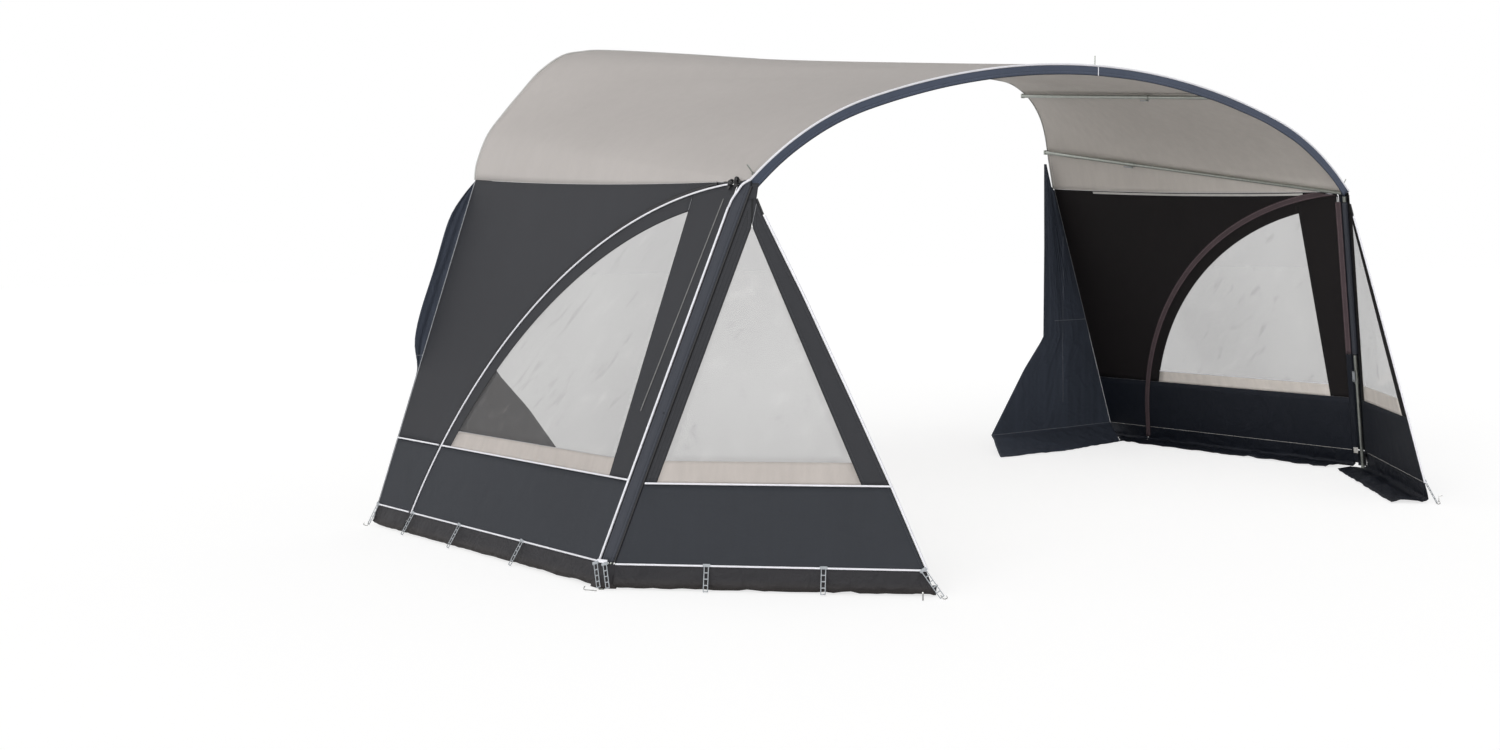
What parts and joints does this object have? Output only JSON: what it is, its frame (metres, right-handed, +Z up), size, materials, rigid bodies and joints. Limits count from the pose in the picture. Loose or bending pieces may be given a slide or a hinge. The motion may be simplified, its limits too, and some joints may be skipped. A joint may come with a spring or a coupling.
{
  "type": "sun canopy awning",
  "caption": "Arched canopy awning with zipped windowed side walls, storm wings, draught panels, mud flaps and a telescopic tube frame.",
  "frame": {"origin": "centre of the bounding box on the ground", "axes": "+X to the right seen from the open front, +Y to the rail at the back, +Z up"},
  "size_m": [5.825, 3.1588, 2.555],
  "materials": {
    "roof_fabric": "coated cloth",
    "wall_fabric": "coated cloth",
    "skirt_fabric": "coated cloth",
    "navy_fabric": "coated cloth",
    "clear_foil": "clear sheet",
    "white_piping": "satin",
    "zip_tape": "woven tape",
    "galvanised_steel": "galvanised",
    "black_plastic": "moulded",
    "peg_steel": "plated",
    "keder": "smooth"
  },
  "bodies": {
    "frame": {"roof_canopy": "roof_fabric", "rail_keder": "keder", "front_valance": "navy_fabric", "arch_piping": "white_piping", "arch_tube_centre": "galvanised_steel", "arch_tube_left": "galvanised_steel", "arch_tube_right": "galvanised_steel", "rafter_rear_tube_centre": "galvanised_steel", "rafter_rear_tube_mid_left": "galvanised_steel", "rafter_rear_tube_mid_right": "galvanised_steel", "rafter_rear_tube_side_left": "galvanised_steel", "rafter_rear_tube_side_right": "galvanised_steel", "side_panel_right": "wall_fabric", "rear_skirt_right": "skirt_fabric", "return_panel_right": "navy_fabric", "zip_strip_right": "zip_tape", "corner_sleeve_right": "navy_fabric", "leg_upper_tube_right": "galvanised_steel", "corner_joint_right": "black_plastic", "side_panel_left": "wall_fabric", "rear_skirt_left": "skirt_fabric", "return_panel_left": "navy_fabric", "zip_strip_left": "zip_tape", "corner_sleeve_left": "navy_fabric", "leg_upper_tube_left": "galvanised_steel", "corner_joint_left": "black_plastic"},
    "rafter_front_centre": {"rafter_front_tube_centre": "galvanised_steel"},
    "rafter_clamp_centre": {"rafter_lever_centre": "black_plastic"},
    "rafter_front_mid_left": {"rafter_front_tube_mid_left": "galvanised_steel"},
    "rafter_clamp_mid_left": {"rafter_lever_mid_left": "black_plastic"},
    "rafter_front_mid_right": {"rafter_front_tube_mid_right": "galvanised_steel"},
    "rafter_clamp_mid_right": {"rafter_lever_mid_right": "black_plastic"},
    "rafter_front_side_left": {"rafter_front_tube_side_left": "galvanised_steel"},
    "rafter_clamp_side_left": {"rafter_lever_side_left": "black_plastic"},
    "rafter_front_side_right": {"rafter_front_tube_side_right": "galvanised_steel"},
    "rafter_clamp_side_right": {"rafter_lever_side_right": "black_plastic"},
    "leg_right": {"leg_lower_tube_right": "galvanised_steel"},
    "leg_clamp_right": {"leg_lever_right": "black_plastic"},
    "door_right": {"door_panel_right": "wall_fabric", "door_window_right": "clear_foil", "door_skirt_right": "skirt_fabric", "door_piping_right": "white_piping"},
    "wing_right": {"wing_panel_right": "wall_fabric", "wing_window_right": "clear_foil", "wing_skirt_right": "skirt_fabric", "wing_piping_right": "white_piping", "tip_peg_right": "peg_steel"},
    "zip_right": {"zip_slider_right": "black_plastic"},
    "leg_left": {"leg_lower_tube_left": "galvanised_steel"},
    "leg_clamp_left": {"leg_lever_left": "black_plastic"},
    "door_left": {"door_panel_left": "wall_fabric", "door_window_left": "clear_foil", "door_skirt_left": "skirt_fabric", "door_piping_left": "white_piping"},
    "wing_left": {"wing_panel_left": "wall_fabric", "wing_window_left": "clear_foil", "wing_skirt_left": "skirt_fabric", "wing_piping_left": "white_piping", "tip_peg_left": "peg_steel"},
    "zip_left": {"zip_slider_left": "black_plastic"}
  },
  "joints": [
    {"name": "rafter_slide_centre", "type": "slide", "parent": "frame", "child": "rafter_front_centre", "axis": [0, 0.9952, 0.098], "range_m": [0, 0.3]},
    {"name": "rafter_clamp_hinge_centre", "type": "hinge", "parent": "frame", "child": "rafter_clamp_centre", "pos_m": [-0.00003, -0.04404, 2.3417], "axis": [-1, 0, 0], "range_deg": [0, 100]},
    {"name": "rafter_slide_mid_left", "type": "slide", "parent": "frame", "child": "rafter_front_mid_left", "axis": [-0.3512, 0.9347, 0.0548], "range_m": [0, 0.3]},
    {"name": "rafter_clamp_hinge_mid_left", "type": "hinge", "parent": "frame", "child": "rafter_clamp_mid_left", "pos_m": [-1.2577, -0.04655, 2.21821], "axis": [-0.9361, -0.3518, 0], "range_deg": [0, 100]},
    {"name": "rafter_slide_mid_right", "type": "slide", "parent": "frame", "child": "rafter_front_mid_right", "axis": [0.3752, 0.9224, 0.0921], "range_m": [0, 0.3]},
    {"name": "rafter_clamp_hinge_mid_right", "type": "hinge", "parent": "frame", "child": "rafter_clamp_mid_right", "pos_m": [1.28039, -0.04613, 2.24816], "axis": [-0.9263, 0.3768, 0], "range_deg": [0, 100]},
    {"name": "rafter_slide_side_left", "type": "slide", "parent": "frame", "child": "rafter_front_side_left", "axis": [0.0096, 0.9904, 0.1376], "range_m": [0, 0.3]},
    {"name": "rafter_clamp_hinge_side_left", "type": "hinge", "parent": "frame", "child": "rafter_clamp_side_left", "pos_m": [-2.15247, 0.80488, 1.8938], "axis": [-1, 0.0097, 0], "range_deg": [0, 100]},
    {"name": "rafter_slide_side_right", "type": "slide", "parent": "frame", "child": "rafter_front_side_right", "axis": [-0.0011, 0.9887, 0.1499], "range_m": [0, 0.3]},
    {"name": "rafter_clamp_hinge_side_right", "type": "hinge", "parent": "frame", "child": "rafter_clamp_side_right", "pos_m": [2.16591, 0.8051, 1.91381], "axis": [-1, -0.0011, 0], "range_deg": [0, 100]},
    {"name": "leg_slide_right", "type": "slide", "parent": "frame", "child": "leg_right", "axis": [-0.3418, -0.1306, 0.9307], "range_m": [0, 0.3]},
    {"name": "leg_clamp_hinge_right", "type": "hinge", "parent": "frame", "child": "leg_clamp_right", "pos_m": [2.56244, -0.60602, 0.56422], "axis": [-0.3278, -0.9115, -0.2483], "range_deg": [0, 100]},
    {"name": "door_hinge_right", "type": "hinge", "parent": "frame", "child": "door_right", "pos_m": [2.77229, -0.48973, 0.105], "axis": [0.3418, 0.1306, -0.9307], "range_deg": [0, 70]},
    {"name": "wing_hinge_right", "type": "hinge", "parent": "frame", "child": "wing_right", "pos_m": [2.7495, -0.57348, 0.115], "axis": [-0.3418, -0.1306, 0.9307], "range_deg": [0, 60]},
    {"name": "zip_run_right", "type": "hinge", "parent": "frame", "child": "zip_right", "pos_m": [2.89113, -0.87158, -0.27006], "axis": [-0.9398, 0.0409, -0.3394], "range_deg": [0, 66]},
    {"name": "leg_slide_left", "type": "slide", "parent": "frame", "child": "leg_left", "axis": [0.3418, -0.1306, 0.9307], "range_m": [0, 0.3]},
    {"name": "leg_clamp_hinge_left", "type": "hinge", "parent": "frame", "child": "leg_clamp_left", "pos_m": [-2.56244, -0.60602, 0.56422], "axis": [-0.3278, 0.9115, 0.2483], "range_deg": [0, 100]},
    {"name": "door_hinge_left", "type": "hinge", "parent": "frame", "child": "door_left", "pos_m": [-2.77229, -0.48973, 0.105], "axis": [0.3418, -0.1306, 0.9307], "range_deg": [0, 70]},
    {"name": "wing_hinge_left", "type": "hinge", "parent": "frame", "child": "wing_left", "pos_m": [-2.7495, -0.57348, 0.115], "axis": [-0.3418, 0.1306, -0.9307], "range_deg": [0, 60]},
    {"name": "zip_run_left", "type": "hinge", "parent": "frame", "child": "zip_left", "pos_m": [-2.89113, -0.87158, -0.27006], "axis": [-0.9398, -0.0409, 0.3394], "range_deg": [0, 66]}
  ]
}
